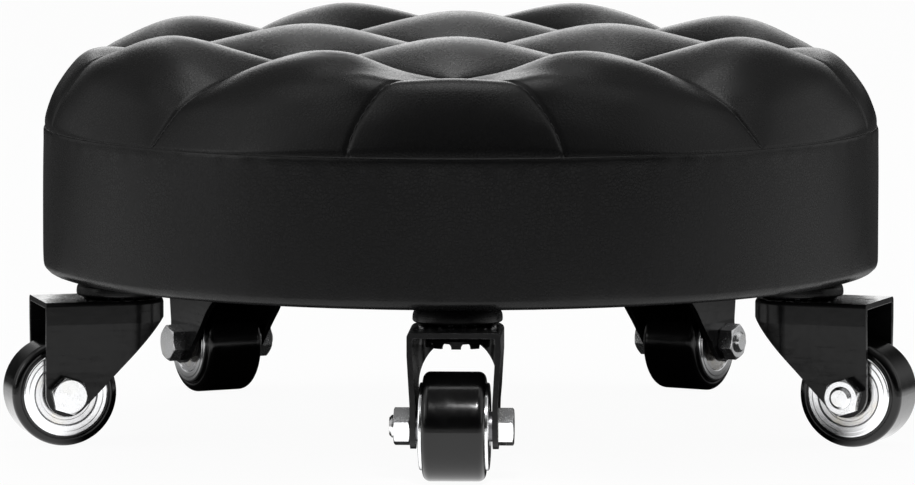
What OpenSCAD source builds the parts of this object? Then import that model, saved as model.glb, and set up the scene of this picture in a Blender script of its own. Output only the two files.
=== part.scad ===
// Low round roller stool: a quilted cushion on a plywood board, carried by
// five swivel casters with threaded stems. Millimetres, +Z up, floor at z = 0.
// The origin is the centre of the footprint box on the floor.

/* [Seat] */
// Diameter over the side band
seat_d = 304; // [300:1:320]
// Height of the side band
band_h = 52.4; // [46:0.2:60]
// Rise of the cushion above the band seam
crown_h = 34.6; // [30:0.2:38]
// Thickness of the cover material
cover_t = 1.2; // [0.8:0.1:1.6]
// Thickness of the plywood board
board_t = 12; // [11:0.5:15]
// Foam between the board's rim and the side band
rim_foam = 4.8; // [3:0.2:8]

/* [Underside] */
// Radius of the dust cloth that shows
cloth_r = 105.4; // [90:0.2:107]
// Number of staples through the hem
staples_n = 40; // [20:1:60]

/* [Casters] */
// Floor to the underside of the seat
caster_h = 59; // [59:0.5:61]
// Radius of the circle of swivel axes
ring_r = 128.4; // [124:0.2:130]
// Offset of the axle from the swivel axis
trail = 22.4; // [21.5:0.1:23]
// Wheel diameter
wheel_d = 38; // [37:0.5:39]

/* [Rest pose] */
// Turn of the whole caster ring
ring_a = -0.5; // [-10:0.1:10]
// Front caster's angle from straight outwards
yaw_front = -2.1; // [-180:0.1:180]
// Left caster's angle from straight outwards
yaw_left = -3.4; // [-180:0.1:180]
// Right caster's angle from straight outwards
yaw_right = -2.5; // [-180:0.1:180]
// Rear left caster's angle from straight outwards
yaw_rear_left = -13.3; // [-180:0.1:180]
// Rear right caster's angle from straight outwards
yaw_rear_right = 7.5; // [-180:0.1:180]

/* [Fork] */
// Width over the fork at its crown
fork_w = 32.5; // [32:0.1:33.5]
// Sheet thickness of the fork
fork_t = 2; // [1.6:0.1:2.2]
// How far each leg is set in at the axle
leg_pinch = 1; // [0.6:0.1:1.2]
// Length of the fork from the swivel axis to its outer edge
fork_l = 30.2; // [29.8:0.1:31]
// Radius of the leg's end round the axle
leg_end_r = 7.8; // [7:0.1:8]

/* [Swivel] */
// Radius of the upper race
cup_r = 15.75; // [15.6:0.05:16]
// Balls in the upper row
upper_balls = 16; // [10:1:17]
// Balls in the lower row
lower_balls = 14; // [8:1:16]
// Teeth on the lower race
teeth_n = 10; // [8:1:12]

/* [Wheel] */
// Width of the tyre
tread_w = 21.8; // [20:0.2:22]
// Width of the core over its side faces
hub_w = 24.5; // [24.4:0.1:24.8]
// Radius of the bright side face
rim_r = 15.2; // [14.8:0.1:15.6]
// Balls in each bearing
bearing_balls_n = 7; // [5:1:7]

/* [Fasteners] */
// Thread diameter of the axle bolt and the stem
bolt_d = 8; // [7.8:0.1:8]
// Width over the flats of the bolt head and the nut
hex_af = 12; // [11:0.5:13]

/* [Hidden] */
$fn = 96;

// Caster order: front, left, right, rear left, rear right.
FRONT = 0;
LEFT = 1;
RIGHT = 2;
REAR_LEFT = 3;
REAR_RIGHT = 4;
place_a = [for (a = [270, 198, 342, 130.8, 54]) a + ring_a];
yaw = [yaw_front, yaw_left, yaw_right, yaw_rear_left, yaw_rear_right];

seat_r = seat_d / 2;
wheel_r = wheel_d / 2;
bolt_r = bolt_d / 2;
seam_z = caster_h + band_h;
top_z = seam_z + crown_h;
board_z = caster_h + cover_t;
board_r = seat_r - cover_t - rim_foam;
board_top = board_z + board_t;
edge_round = 3.5;
shoulder_r = 2.6;

// Reach of a wheel beyond its centre along the direction e.
function wheel_reach(a, e) =
  (wheel_r - shoulder_r) * abs(cos(a - e)) + (tread_w / 2 - shoulder_r) * abs(sin(a - e)) + shoulder_r;
function wheel_edge(i, e) =
  ring_r * cos(place_a[i] - e) + trail * cos(place_a[i] + yaw[i] - e) + wheel_reach(place_a[i] + yaw[i], e);
function reach(e) = max([for (i = [0:4]) wheel_edge(i, e), seat_r]);

// The seat's axis, measured from the centre of the footprint box.
seat_x = (reach(180) - reach(0)) / 2;
seat_y = (reach(270) - reach(90)) / 2;

function arc(x, y, r, a0, a1, n = 10) =
  [for (i = [0:n]) let (a = a0 + (a1 - a0) * i / n) [x + r * cos(a), y + r * sin(a)]];
function oval(x, y, rx, ry, a0, a1, n = 10) =
  [for (i = [0:n]) let (a = a0 + (a1 - a0) * i / n) [x + rx * cos(a), y + ry * sin(a)]];
function flip_y(p) = [for (i = [len(p) - 1:-1:0]) [p[i][0], -p[i][1]]];

module on_seat() translate([seat_x, seat_y, 0]) children();
module at_stem(i) on_seat() rotate([0, 0, place_a[i]]) translate([ring_r, 0, 0]) children();
module every_stem() for (i = [0:4]) at_stem(i) children();
// Swivel frame of a caster: x runs from the swivel axis towards the wheel.
module at_caster(i) at_stem(i) rotate([0, 0, yaw[i]]) children();
// Axle frame: z runs along the axle towards the bolt head.
module on_axle() translate([trail, 0, wheel_r]) rotate([-90, 0, 0]) children();

// ---- Seat -------------------------------------------------------------

// Outline of the crowned cushion in the plane of radius and height.
// drop is how far the outline is set in from the cover's outer face.
function crown_line(drop) =
  let (r = seat_r - 0.4 - drop, h = crown_h - drop)
  [
    [r, seam_z], [r, seam_z + 3.6], [r * 0.991, seam_z + h * 0.26],
    [r * 0.964, seam_z + h * 0.45], [r * 0.93, seam_z + h * 0.62],
    [r * 0.884, seam_z + h * 0.775], [r * 0.818, seam_z + h * 0.885],
    [r * 0.726, seam_z + h * 0.955], [r * 0.607, seam_z + h * 0.99],
    [r * 0.46, seam_z + h], [0, seam_z + h]
  ];

module seat_cover() color([0.12, 0.12, 0.125]) on_seat()
  rotate_extrude($fn = 180) polygon(concat(
    crown_line(0),
    [for (i = [10:-1:0]) crown_line(cover_t)[i]]
  ));

module side_band() color([0.13, 0.13, 0.135]) on_seat() difference() {
  rotate_extrude($fn = 180) polygon(concat(
    [[seat_r, seam_z], [seat_r, caster_h + edge_round]],
    arc(seat_r - edge_round, caster_h + edge_round, edge_round, 0, -90, 6),
    [[cloth_r + 0.2, caster_h], [cloth_r + 0.2, caster_h + cover_t / 2],
     [cloth_r + 6.8, caster_h + cover_t / 2], [cloth_r + 6.8, caster_h + cover_t]],
    arc(seat_r - edge_round, caster_h + edge_round, edge_round - cover_t, -90, 0, 6),
    [[seat_r - cover_t, seam_z]]
  ));
  staple_holes();
  for (i = [0:4]) rotate([0, 0, place_a[i]])
    translate([ring_r, 0, caster_h - 1]) cylinder(h = cover_t + 2, r = bolt_r + 0.5);
}

module foam_pad() color([0.78, 0.74, 0.6]) on_seat() difference() {
  rotate_extrude($fn = 180) polygon(concat(
    [[0, board_top], [board_r + 0.1, board_top], [board_r + 0.1, board_z + 0.1],
     [seat_r - edge_round, board_z + 0.1]],
    arc(seat_r - edge_round, caster_h + edge_round, edge_round - cover_t - 0.1, -80, 0, 5),
    [[seat_r - cover_t - 0.1, seam_z - 0.8], [seat_r - cover_t - 0.5, seam_z - 0.2]],
    [for (p = crown_line(cover_t + 0.1)) if (p[1] > seam_z + 1) p]
  ));
  for (i = [0:4]) rotate([0, 0, place_a[i]])
    translate([ring_r, 0, board_top - 1]) cylinder(h = 4, r = 11.4);
}

module base_board() color([0.72, 0.56, 0.38]) on_seat() difference() {
  translate([0, 0, board_z]) cylinder(h = board_t, r = board_r, $fn = 180);
  staple_holes();
  for (i = [0:4]) rotate([0, 0, place_a[i]])
    translate([ring_r, 0, board_z - 1]) cylinder(h = board_t + 2, r = 5.6);
}

// The cloth's edge lies under the hem of the side band.
module dust_cloth() color([0.09, 0.09, 0.095]) on_seat() difference() {
  rotate_extrude($fn = 180) polygon([
    [0, caster_h], [cloth_r, caster_h], [cloth_r, caster_h + cover_t / 2],
    [cloth_r + 6.6, caster_h + cover_t / 2], [cloth_r + 6.6, board_z], [0, board_z]
  ]);
  staple_holes();
}

module staple() {
  translate([-0.4, -5, -0.5]) cube([0.8, 10, 0.5]);
  for (s = [-1, 1]) translate([-0.4, s * 4.7 - 0.3, -0.1]) cube([0.8, 0.6, 6]);
}

module every_staple() for (i = [0:staples_n - 1]) rotate([0, 0, (i + 0.5) * 360 / staples_n])
  translate([cloth_r + 3.4, 0, caster_h]) rotate([0, 0, i % 2 == 0 ? 8 : -6]) children();

// What the staples' legs have cut open in the material that they hold.
module staple_holes() every_staple() for (s = [-1, 1])
  translate([-0.43, s * 4.7 - 0.33, -0.3]) cube([0.86, 0.66, 6.25]);

module staples() color([0.7, 0.7, 0.72]) on_seat() every_staple() staple();

// ---- Stems and swivels --------------------------------------------------

module tee_nut() {
  difference() {
    union() {
      translate([0, 0, board_top]) cylinder(h = 1.4, r = 10.4);
      translate([0, 0, board_top - 9]) cylinder(h = 9.5, r = 5.5);
    }
    translate([0, 0, board_top - 10]) cylinder(h = 13, r = bolt_r + 0.05);
  }
  for (k = [0:3]) rotate([0, 0, 45 + 90 * k]) translate([8.6, 0, board_top + 0.2])
    rotate([0, 90, 0]) linear_extrude(height = 1.2)
      polygon([[0, -1.8], [0, 1.8], [6, 0.2], [6, -0.2]]);
}

module tee_nuts() color([0.72, 0.72, 0.74]) every_stem() tee_nut();

crown_z = caster_h - 6.8;       // top of the fork's crown
row_r = 11.8;                   // pitch radius of the upper balls
row_z = crown_z + 1.7;          // height of the upper balls' centres
ball_r = 2;
low_r = 8.6;                    // pitch radius of the lower balls
low_z = crown_z - fork_t - 1.75;
low_ball_r = 1.5;
race_top = low_z - 0.95;
race_bot = race_top - 1.3;

module caster_stem() rotate_extrude() polygon([
  [0, race_bot - 0.7], [5.7, race_bot - 0.7], [6.2, race_bot - 0.3], [6.2, race_bot],
  [bolt_r, race_bot], [bolt_r, race_top], [5, race_top], [5, caster_h - 1.8],
  [bolt_r, caster_h - 1.8], [bolt_r, board_top + 1.2], [bolt_r - 0.9, board_top + 2.2],
  [0, board_top + 2.2]
]);

module caster_stems() color([0.66, 0.67, 0.69]) every_stem() caster_stem();

module upper_race() rotate_extrude() polygon(concat(
  [[bolt_r, caster_h - 1.8], [bolt_r, caster_h]],
  oval(11.8, crown_z + 2.6, cup_r - 11.8, 4.2, 90, 0, 8),
  arc(cup_r - 0.85, crown_z + 1.8, 0.85, 0, -180, 8),
  arc(row_r, row_z, 2.2, 12, 122, 8),
  [[9, caster_h - 1.8]]
));

module upper_races() color([0.06, 0.06, 0.065]) every_stem() upper_race();

module lower_race() difference() {
  rotate_extrude() polygon(concat(
    [[bolt_r, race_bot], [9.9, race_bot], [9.9, race_bot - 1.8], [11.3, race_bot - 1.8],
     [11.3, race_top - 0.5], [10.8, race_top]],
    arc(low_r, low_z, 1.55, -37.8, -142.2, 8),
    [[bolt_r, race_top]]
  ));
  for (k = [0:teeth_n - 1]) rotate([0, 0, 360 * k / teeth_n]) {
    translate([9.2, 0, race_bot - 1.5]) rotate([0, 90, 0]) cylinder(h = 3, r = 1.85, $fn = 40);
    translate([9.2, -1.85, race_bot - 3]) cube([3, 3.7, 1.5]);
  }
}

module lower_races() color([0.08, 0.08, 0.085])
  for (i = [0:4]) at_caster(i) rotate([0, 0, 180 / teeth_n]) lower_race();

module swivel_balls() color([0.8, 0.8, 0.82]) every_stem() {
  for (k = [0:upper_balls - 1]) rotate([0, 0, 360 * k / upper_balls])
    translate([row_r, 0, row_z]) sphere(r = ball_r, $fn = 32);
  for (k = [0:lower_balls - 1]) rotate([0, 0, 360 * k / lower_balls])
    translate([low_r, 0, low_z]) sphere(r = low_ball_r, $fn = 32);
}

// ---- Fork ---------------------------------------------------------------

half_w = fork_w / 2;
bend_r = 1.5;
skirt_back = 14.2;              // where the rear skirt is cut off
diag_z = 45.6;                  // height of the cut at the rear skirt

// Half of the fork's cross-section, from the middle of the crown to a leg's end.
function fork_half() = concat(
  [[0, crown_z]],
  arc(half_w - bend_r, crown_z - bend_r, bend_r, 90, 0, 8),
  [[half_w, crown_z - 8], [half_w - leg_pinch, 27], [half_w - leg_pinch, 5],
   [half_w - leg_pinch - fork_t, 5], [half_w - leg_pinch - fork_t, 27], [half_w - fork_t, crown_z - 8]],
  arc(half_w - fork_t - 0.7, crown_z - fork_t - 0.7, 0.7, 0, 90, 4),
  [[0, crown_z - fork_t]]
);

function fork_section() = let (h = fork_half())
  concat(h, [for (i = [len(h) - 2:-1:1]) [-h[i][0], h[i][1]]]);

// Side outline of the fork.
function fork_side() = let (a = atan2(diag_z - wheel_r + leg_end_r * 0.7, -skirt_back - trail + leg_end_r * 0.7) + 90)
  concat(
    [[fork_l, crown_z + 1]],
    arc(trail, wheel_r, leg_end_r, 0, a - 360, 16),
    [[-skirt_back, diag_z], [-skirt_back, crown_z + 1]]
  );

module fork() color([0.05, 0.05, 0.055]) difference() {
  intersection() {
    union() {
      rotate([90, 0, 90]) linear_extrude(height = fork_l) polygon(fork_section());
      intersection() {
        rotate_extrude() polygon(fork_half());
        translate([-half_w - 1, -half_w - 1, 0]) cube([half_w + 1, fork_w + 2, crown_z + 1]);
      }
    }
    translate([0, 30, 0]) rotate([90, 0, 0]) linear_extrude(height = 60) polygon(fork_side());
  }
  translate([0, 0, crown_z - 5]) cylinder(h = 8, r = 6);
  rotate_extrude() translate([row_r, row_z]) circle(r = ball_r + 0.3, $fn = 40);
  translate([trail, 30, wheel_r]) rotate([90, 0, 0]) cylinder(h = 60, r = bolt_r + 0.1);
}

// ---- Axle ---------------------------------------------------------------

leg_in = half_w - leg_pinch - fork_t;   // inner face of a leg at the axle
leg_out = half_w - leg_pinch;           // outer face of a leg at the axle
race_out = hub_w / 2 - 0.5;             // outer face of a bearing
race_w = 7;
bearing_y = race_out - race_w / 2;
pitch_r = 7.5;
hex_turn = -17.5;

// Hexagon with both ends chamfered, from z = 0 to z = h.
module hexagon(h, both) intersection() {
  rotate([0, 0, hex_turn]) cylinder(h = h, d = hex_af / cos(30), $fn = 6);
  rotate_extrude() polygon([
    [0, 0], [both ? hex_af / 2 - 0.1 : hex_af, 0], [hex_af, both ? 2.6 : 0.01],
    [hex_af, h - 2.6], [hex_af / 2 - 0.1, h], [0, h]
  ]);
}

module axle_bolt() color([0.78, 0.78, 0.8]) on_axle() {
  translate([0, 0, leg_out]) hexagon(5.3, false);
  translate([0, 0, -leg_out - 7.3]) rotate_extrude() polygon([
    [0, 0], [bolt_r - 0.95, 0], [bolt_r - 0.05, 0.9], [bolt_r - 0.05, 2 * leg_out + 7.5], [0, 2 * leg_out + 7.5]
  ]);
}

module axle_nut() color([0.78, 0.78, 0.8]) on_axle() difference() {
  translate([0, 0, -leg_out]) mirror([0, 0, 1]) hexagon(5.7, true);
  translate([0, 0, -leg_out - 10]) cylinder(h = 12, r = bolt_r);
}

module ring(r0, r1, z0, z1) translate([0, 0, z0]) difference() {
  cylinder(h = z1 - z0, r = r1);
  translate([0, 0, -1]) cylinder(h = z1 - z0 + 2, r = r0);
}

module axle_spacers() color([0.25, 0.25, 0.26]) on_axle() {
  ring(bolt_r + 0.05, 5.2, race_out, leg_in);
  ring(bolt_r + 0.05, 5.2, -leg_in, -race_out);
  ring(bolt_r + 0.05, 5.2, -race_out + race_w, race_out - race_w);
}

module inner_race(y) difference() {
  ring(bolt_r, 6.1, y - race_w / 2, y + race_w / 2);
  translate([0, 0, y]) rotate_extrude() translate([pitch_r, 0]) circle(r = 2.1, $fn = 40);
}

module inner_races() color([0.75, 0.76, 0.78]) on_axle() {
  inner_race(bearing_y);
  inner_race(-bearing_y);
}

// ---- Wheel --------------------------------------------------------------

half_t = tread_w / 2;

function tyre_half() = concat(
  [[13.5, 0], [13.5, half_t], [rim_r + 0.5, half_t], [rim_r + 0.8, half_t - 0.25],
   [rim_r + 1.1, half_t - 0.05]],
  arc(wheel_r - shoulder_r, half_t - shoulder_r, shoulder_r, 82, 0, 7),
  [[wheel_r, 0]]
);

module tyre() color([0.05, 0.05, 0.055]) on_axle()
  rotate_extrude($fn = 120) polygon(concat(tyre_half(), flip_y(tyre_half())));

function core_half() = let (h = hub_w / 2) [
  [9.6, 0], [9.6, race_out - race_w - 0.05], [11.02, race_out - race_w - 0.05],
  [11.02, h - 0.75], [11.35, h - 0.12], [11.6, h], [13.3, h - 0.02], [13.55, h - 0.14],
  [14.7, h - 0.16], [15, h - 0.3], [rim_r, h - 0.6], [rim_r, h - 1.25],
  [13.5, h - 1.25], [13.5, 0]
];

module wheel_core() color([0.82, 0.82, 0.84]) on_axle()
  rotate_extrude($fn = 120) polygon(concat(core_half(), flip_y(core_half())));

module outer_race(y, s) {
  difference() {
    ring(9.4, 11, y - race_w / 2, y + race_w / 2);
    translate([0, 0, y]) rotate_extrude() translate([pitch_r, 0]) circle(r = 2.1, $fn = 40);
  }
  // shield on the bearing's outer side
  translate([0, 0, y]) mirror([0, 0, s < 0 ? 1 : 0]) rotate_extrude() polygon([
    [6.4, 2.75], [8.6, 2.9], [9.38, 2.9], [9.38, 3.2], [8.5, 3.2], [6.4, 3.05]
  ]);
}

module outer_races() color([0.75, 0.76, 0.78]) on_axle() {
  outer_race(bearing_y, 1);
  outer_race(-bearing_y, -1);
}

module bearing_balls() color([0.8, 0.8, 0.82]) on_axle()
  for (y = [-bearing_y, bearing_y]) for (k = [0:bearing_balls_n - 1])
    rotate([0, 0, 360 * k / bearing_balls_n]) translate([pitch_r, 0, y])
      sphere(r = 1.98, $fn = 32);

// ---- Nodes --------------------------------------------------------------

seat_cover();
side_band();
foam_pad();
base_board();
dust_cloth();
staples();
tee_nuts();
caster_stems();
upper_races();
lower_races();
swivel_balls();

at_caster(FRONT) fork();  // fork_front
at_caster(LEFT) fork();  // fork_left
at_caster(RIGHT) fork();  // fork_right
at_caster(REAR_LEFT) fork();  // fork_rear_left
at_caster(REAR_RIGHT) fork();  // fork_rear_right

at_caster(FRONT) axle_bolt();  // axle_bolt_front
at_caster(LEFT) axle_bolt();  // axle_bolt_left
at_caster(RIGHT) axle_bolt();  // axle_bolt_right
at_caster(REAR_LEFT) axle_bolt();  // axle_bolt_rear_left
at_caster(REAR_RIGHT) axle_bolt();  // axle_bolt_rear_right

at_caster(FRONT) axle_nut();  // axle_nut_front
at_caster(LEFT) axle_nut();  // axle_nut_left
at_caster(RIGHT) axle_nut();  // axle_nut_right
at_caster(REAR_LEFT) axle_nut();  // axle_nut_rear_left
at_caster(REAR_RIGHT) axle_nut();  // axle_nut_rear_right

at_caster(FRONT) axle_spacers();  // axle_spacers_front
at_caster(LEFT) axle_spacers();  // axle_spacers_left
at_caster(RIGHT) axle_spacers();  // axle_spacers_right
at_caster(REAR_LEFT) axle_spacers();  // axle_spacers_rear_left
at_caster(REAR_RIGHT) axle_spacers();  // axle_spacers_rear_right

at_caster(FRONT) inner_races();  // inner_races_front
at_caster(LEFT) inner_races();  // inner_races_left
at_caster(RIGHT) inner_races();  // inner_races_right
at_caster(REAR_LEFT) inner_races();  // inner_races_rear_left
at_caster(REAR_RIGHT) inner_races();  // inner_races_rear_right

at_caster(FRONT) tyre();  // tyre_front
at_caster(LEFT) tyre();  // tyre_left
at_caster(RIGHT) tyre();  // tyre_right
at_caster(REAR_LEFT) tyre();  // tyre_rear_left
at_caster(REAR_RIGHT) tyre();  // tyre_rear_right

at_caster(FRONT) wheel_core();  // wheel_core_front
at_caster(LEFT) wheel_core();  // wheel_core_left
at_caster(RIGHT) wheel_core();  // wheel_core_right
at_caster(REAR_LEFT) wheel_core();  // wheel_core_rear_left
at_caster(REAR_RIGHT) wheel_core();  // wheel_core_rear_right

at_caster(FRONT) outer_races();  // outer_races_front
at_caster(LEFT) outer_races();  // outer_races_left
at_caster(RIGHT) outer_races();  // outer_races_right
at_caster(REAR_LEFT) outer_races();  // outer_races_rear_left
at_caster(REAR_RIGHT) outer_races();  // outer_races_rear_right

at_caster(FRONT) bearing_balls();  // bearing_balls_front
at_caster(LEFT) bearing_balls();  // bearing_balls_left
at_caster(RIGHT) bearing_balls();  // bearing_balls_right
at_caster(REAR_LEFT) bearing_balls();  // bearing_balls_rear_left
at_caster(REAR_RIGHT) bearing_balls();  // bearing_balls_rear_right
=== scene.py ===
import math

import bpy
import numpy as np
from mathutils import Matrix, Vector, kdtree, noise
from mathutils.geometry import delaunay_2d_cdt


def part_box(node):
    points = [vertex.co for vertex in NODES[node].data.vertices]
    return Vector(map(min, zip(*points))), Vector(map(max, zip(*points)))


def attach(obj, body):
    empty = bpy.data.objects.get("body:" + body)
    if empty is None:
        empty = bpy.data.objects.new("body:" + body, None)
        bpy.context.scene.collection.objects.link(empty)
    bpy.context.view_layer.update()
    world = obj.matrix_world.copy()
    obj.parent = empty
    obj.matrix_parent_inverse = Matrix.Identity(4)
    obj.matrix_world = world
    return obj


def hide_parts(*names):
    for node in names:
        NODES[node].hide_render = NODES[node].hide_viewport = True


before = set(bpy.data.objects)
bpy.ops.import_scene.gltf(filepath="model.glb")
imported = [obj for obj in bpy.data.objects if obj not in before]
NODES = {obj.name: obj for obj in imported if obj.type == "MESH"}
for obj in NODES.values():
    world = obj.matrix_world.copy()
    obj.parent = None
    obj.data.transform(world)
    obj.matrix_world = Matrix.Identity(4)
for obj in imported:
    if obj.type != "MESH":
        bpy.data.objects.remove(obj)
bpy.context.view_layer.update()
CASTERS = ("front", "left", "right", "rear_left", "rear_right")

# Low round roller stool. Lengths below are in millimetres where a name ends in
# _mm or where a function says so, and in metres on every object.
MM = 0.001
low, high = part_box("seat_cover")
AX, AY = (low.x + high.x) / 2, (low.y + high.y) / 2   # the seat's axis
R = 152.0            # radius over the side band
RC = 151.6           # radius of the cushion top
SEAM_Z = 111.4       # seam between cushion top and side band
UNDER_Z = 59.0       # underside of the seat
BOARD_Z, BOARD_TOP, BOARD_R = 60.2, 72.2, 146.0
COVER_T = 1.2

# ---------------------------------------------------------------- camera

IMAGE_W = 915.0
FOCAL_PX = 7541.2
camera_data = bpy.data.cameras.new("camera")
camera_data.sensor_fit = "HORIZONTAL"
camera_data.sensor_width = 36.0
camera_data.lens = FOCAL_PX / IMAGE_W * 36.0
camera_data.shift_x = -3.34 / IMAGE_W
camera_data.clip_start, camera_data.clip_end = 0.05, 60.0
camera = bpy.data.objects.new("camera", camera_data)
bpy.context.scene.collection.objects.link(camera)
camera.location = (AX, AY - 2.736, 0.33671)
camera.rotation_euler = (math.pi / 2 - 0.0979, 0.0, 0.0)
bpy.context.scene.camera = camera

# ---------------------------------------------------------------- small tools


def new_object(name, points, faces, smooth=True):
    """points in millimetres round the seat's axis."""
    mesh = bpy.data.meshes.new(name)
    p = np.asarray(points, float) * MM + np.array([AX, AY, 0.0])
    mesh.from_pydata(p.tolist(), [], [list(map(int, f)) for f in faces])
    mesh.validate()
    mesh.update()
    if smooth:
        mesh.polygons.foreach_set("use_smooth", [True] * len(mesh.polygons))
    obj = bpy.data.objects.new(name, mesh)
    bpy.context.scene.collection.objects.link(obj)
    return obj


def revolve(profile, n, closed=True, shape=None):
    """Points and quads of a profile [(radius, height)] turned round the seat's axis."""
    prof = np.asarray(profile, float)
    m = len(prof)
    a = np.arange(n) * 2 * math.pi / n
    rr = np.repeat(prof[None, :, 0], n, 0)
    zz = np.repeat(prof[None, :, 1], n, 0)
    if shape is not None:
        rr, zz = shape(rr, zz, np.repeat(a[:, None], m, 1))
    pts = np.stack([rr * np.cos(a)[:, None], rr * np.sin(a)[:, None], zz], -1).reshape(-1, 3)
    faces = []
    last = m if closed else m - 1
    for i in range(n):
        j = (i + 1) % n
        for k in range(last):
            k2 = (k + 1) % m
            faces.append((i * m + k, j * m + k, j * m + k2, i * m + k2))
    return pts, faces


def smoothstep(x):
    x = np.clip(x, 0.0, 1.0)
    return x * x * (3 - 2 * x)


def vertex_normals(p, tris):
    t = np.asarray(tris)
    fn = np.cross(p[t[:, 1]] - p[t[:, 0]], p[t[:, 2]] - p[t[:, 0]])
    out = np.zeros_like(p)
    for k in range(3):
        np.add.at(out, t[:, k], fn)
    return out / np.maximum(np.linalg.norm(out, axis=1, keepdims=True), 1e-12)


# ---------------------------------------------------------------- quilted top

# The top is sewn in a square grid of lines, 45 degrees to the front, at 0 and
# +-GRID of the radius from the middle. It is turned a little, as it was sewn.
GRID = 0.5075
GRID_TURN = math.radians(-0.8)
R_A = np.array([0, .5, .7, .8, .846, .877, .9, .922, .945, .97, .986, .995, 1.0])
Z_A = np.array([137, 137, 137.2, 137.2, 136.9, 136.0, 134.2, 131.3, 127.7, 123, 118.4, 114.9, 111.4])
R_B = np.array([0, .3, .5, .65, .757, .85, .9, .938, .97, .99, 1.0])
Z_B = np.array([137.2, 137.2, 136.6, 135.8, 134.2, 129.5, 125.5, 120.6, 116, 113, 111.4])
PUFF, PUFF_OUTER, PUFF_CORNER, PUFF_SIDE_CORNER = 10.7, 11.5, 2.5, 6.0
OUTER_W, RIM_W = 0.185, 0.31     # how fast an outer puff rises from its seam and from the rim


def smooth_interp(x, xp, fp):
    """A monotone cubic through the points, so that the shoulder has no kinks."""
    xp, fp = np.asarray(xp, float), np.asarray(fp, float)
    h = np.diff(xp)
    s = np.diff(fp) / h
    m = np.zeros(len(xp))
    m[1:-1] = np.where(s[:-1] * s[1:] > 0, 2 * s[:-1] * s[1:] / (s[:-1] + s[1:] + 1e-12), 0.0)
    m[0], m[-1] = s[0], s[-1]
    i = np.clip(np.searchsorted(xp, x, side="right") - 1, 0, len(h) - 1)
    t = (x - xp[i]) / h[i]
    t2, t3 = t * t, t * t * t
    return ((2 * t3 - 3 * t2 + 1) * fp[i] + (t3 - 2 * t2 + t) * h[i] * m[i]
            + (-2 * t3 + 3 * t2) * fp[i + 1] + (t3 - t2) * h[i] * m[i + 1])


def base_height(r, a):
    """Height of the sewn surface, in mm, at radius r (1 is the rim) and angle a from the grid."""
    off = np.abs((np.degrees(a) + 45) % 90 - 45)
    m = smoothstep((off - 8) / 26)
    z = (1 - m) * smooth_interp(r, R_A, Z_A) + m * smooth_interp(r, R_B, Z_B)
    # the small front panel stands fuller at its upper edge than the ones at the sides
    front = np.abs((np.degrees(a) + 90 + 180) % 360 - 180)
    full = np.exp(-((r - .87) / np.where(r < .87, .055, .10)) ** 2) * np.clip((1 - r) / .05, 0, 1)
    z = z + 1.5 * full * smoothstep((21 - front) / 9)
    return z + 1.8 * (r * np.sin(a) / .69) * np.clip((1 - r) / .25, 0, 1)


_R = 1 - (1 - np.linspace(0, 1, 4001)) ** 1.8
_Z = 0.5 * (smooth_interp(_R, R_A, Z_A) + smooth_interp(_R, R_B, Z_B))
_L = np.concatenate([[0], np.cumsum(np.hypot(np.diff(_R) * RC, np.diff(_Z)))])   # mm along the cloth
CLOTH_R = float(_L[-1])


def to_cloth(x, y):
    r = np.hypot(x, y)
    f = np.where(r > 1e-9, np.interp(r, _R, _L) / np.maximum(r, 1e-9), RC)
    return x * f, y * f


def from_cloth(p):
    l = np.hypot(p[:, 0], p[:, 1])
    return np.interp(l, _L, _R), np.arctan2(p[:, 1], p[:, 0])


def bump_of(d, w):
    return np.sin(np.pi / 2 * np.clip(d / w, 0, 1))


def puff_height(r, a):
    x, y = r * np.cos(a), r * np.sin(a)
    u, v = (x - y) / math.sqrt(2), (x + y) / math.sqrt(2)

    def dist(w):
        w = np.abs(w)
        return np.where(w < GRID / 2, w, np.where(w < GRID, GRID - w, w - GRID))

    out_u, out_v = np.abs(u) >= GRID, np.abs(v) >= GRID
    fu = np.maximum(bump_of(dist(u), np.where(out_u, OUTER_W, GRID / 2)), 1e-6)
    fv = np.maximum(bump_of(dist(v), np.where(out_v, OUTER_W, GRID / 2)), 1e-6)
    f = 1 / np.sqrt(fu ** -2 + fv ** -2 - 1)   # stays full up to the crossings of the seams
    tall = np.where(out_u | out_v, PUFF_OUTER, PUFF)
    corner = np.where(np.abs(x) > np.abs(y), PUFF_SIDE_CORNER, PUFF_CORNER)
    # the two puffs beside the front panel are drawn down where they meet
    meet = np.hypot(x, y + GRID * math.sqrt(2))
    tall = np.where(out_u ^ out_v, tall * (1 - .42 * smoothstep((.25 - meet) / .17)), tall)
    return f * bump_of(1 - r, RIM_W) * np.where(out_u & out_v, corner, tall)


def quilt_points(r, a, puff, groove_d, rim_d):
    """Points in mm round the seat's axis. puff scales the puffs; groove_d is the distance to the nearest seam."""
    z0 = base_height(r, a)
    e = 1e-4
    r1, r0 = np.minimum(r + e, 1), np.maximum(r - e, 0)
    slope = (base_height(r1, a) - base_height(r0, a)) / ((r1 - r0) * RC)
    slope = np.maximum(slope, -60.0)
    ln = np.sqrt(1 + slope ** 2)
    nr, nz = -slope / ln, 1 / ln
    h = puff_height(r, a) * puff
    h = h - 0.65 * np.exp(-(groove_d / 0.85) ** 2) * np.clip(rim_d / 3.0, 0.0, 1.0)
    radius = r * RC + nr * h - 0.36 * np.exp(-(rim_d / 1.0) ** 2)
    z = z0 + nz * h
    b = a + GRID_TURN
    # the quilting was sewn about a millimetre off the middle
    return np.stack([radius * np.cos(b) - 1.1 * np.clip((1 - r) / .15, 0, 1), radius * np.sin(b), z], 1)


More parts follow.
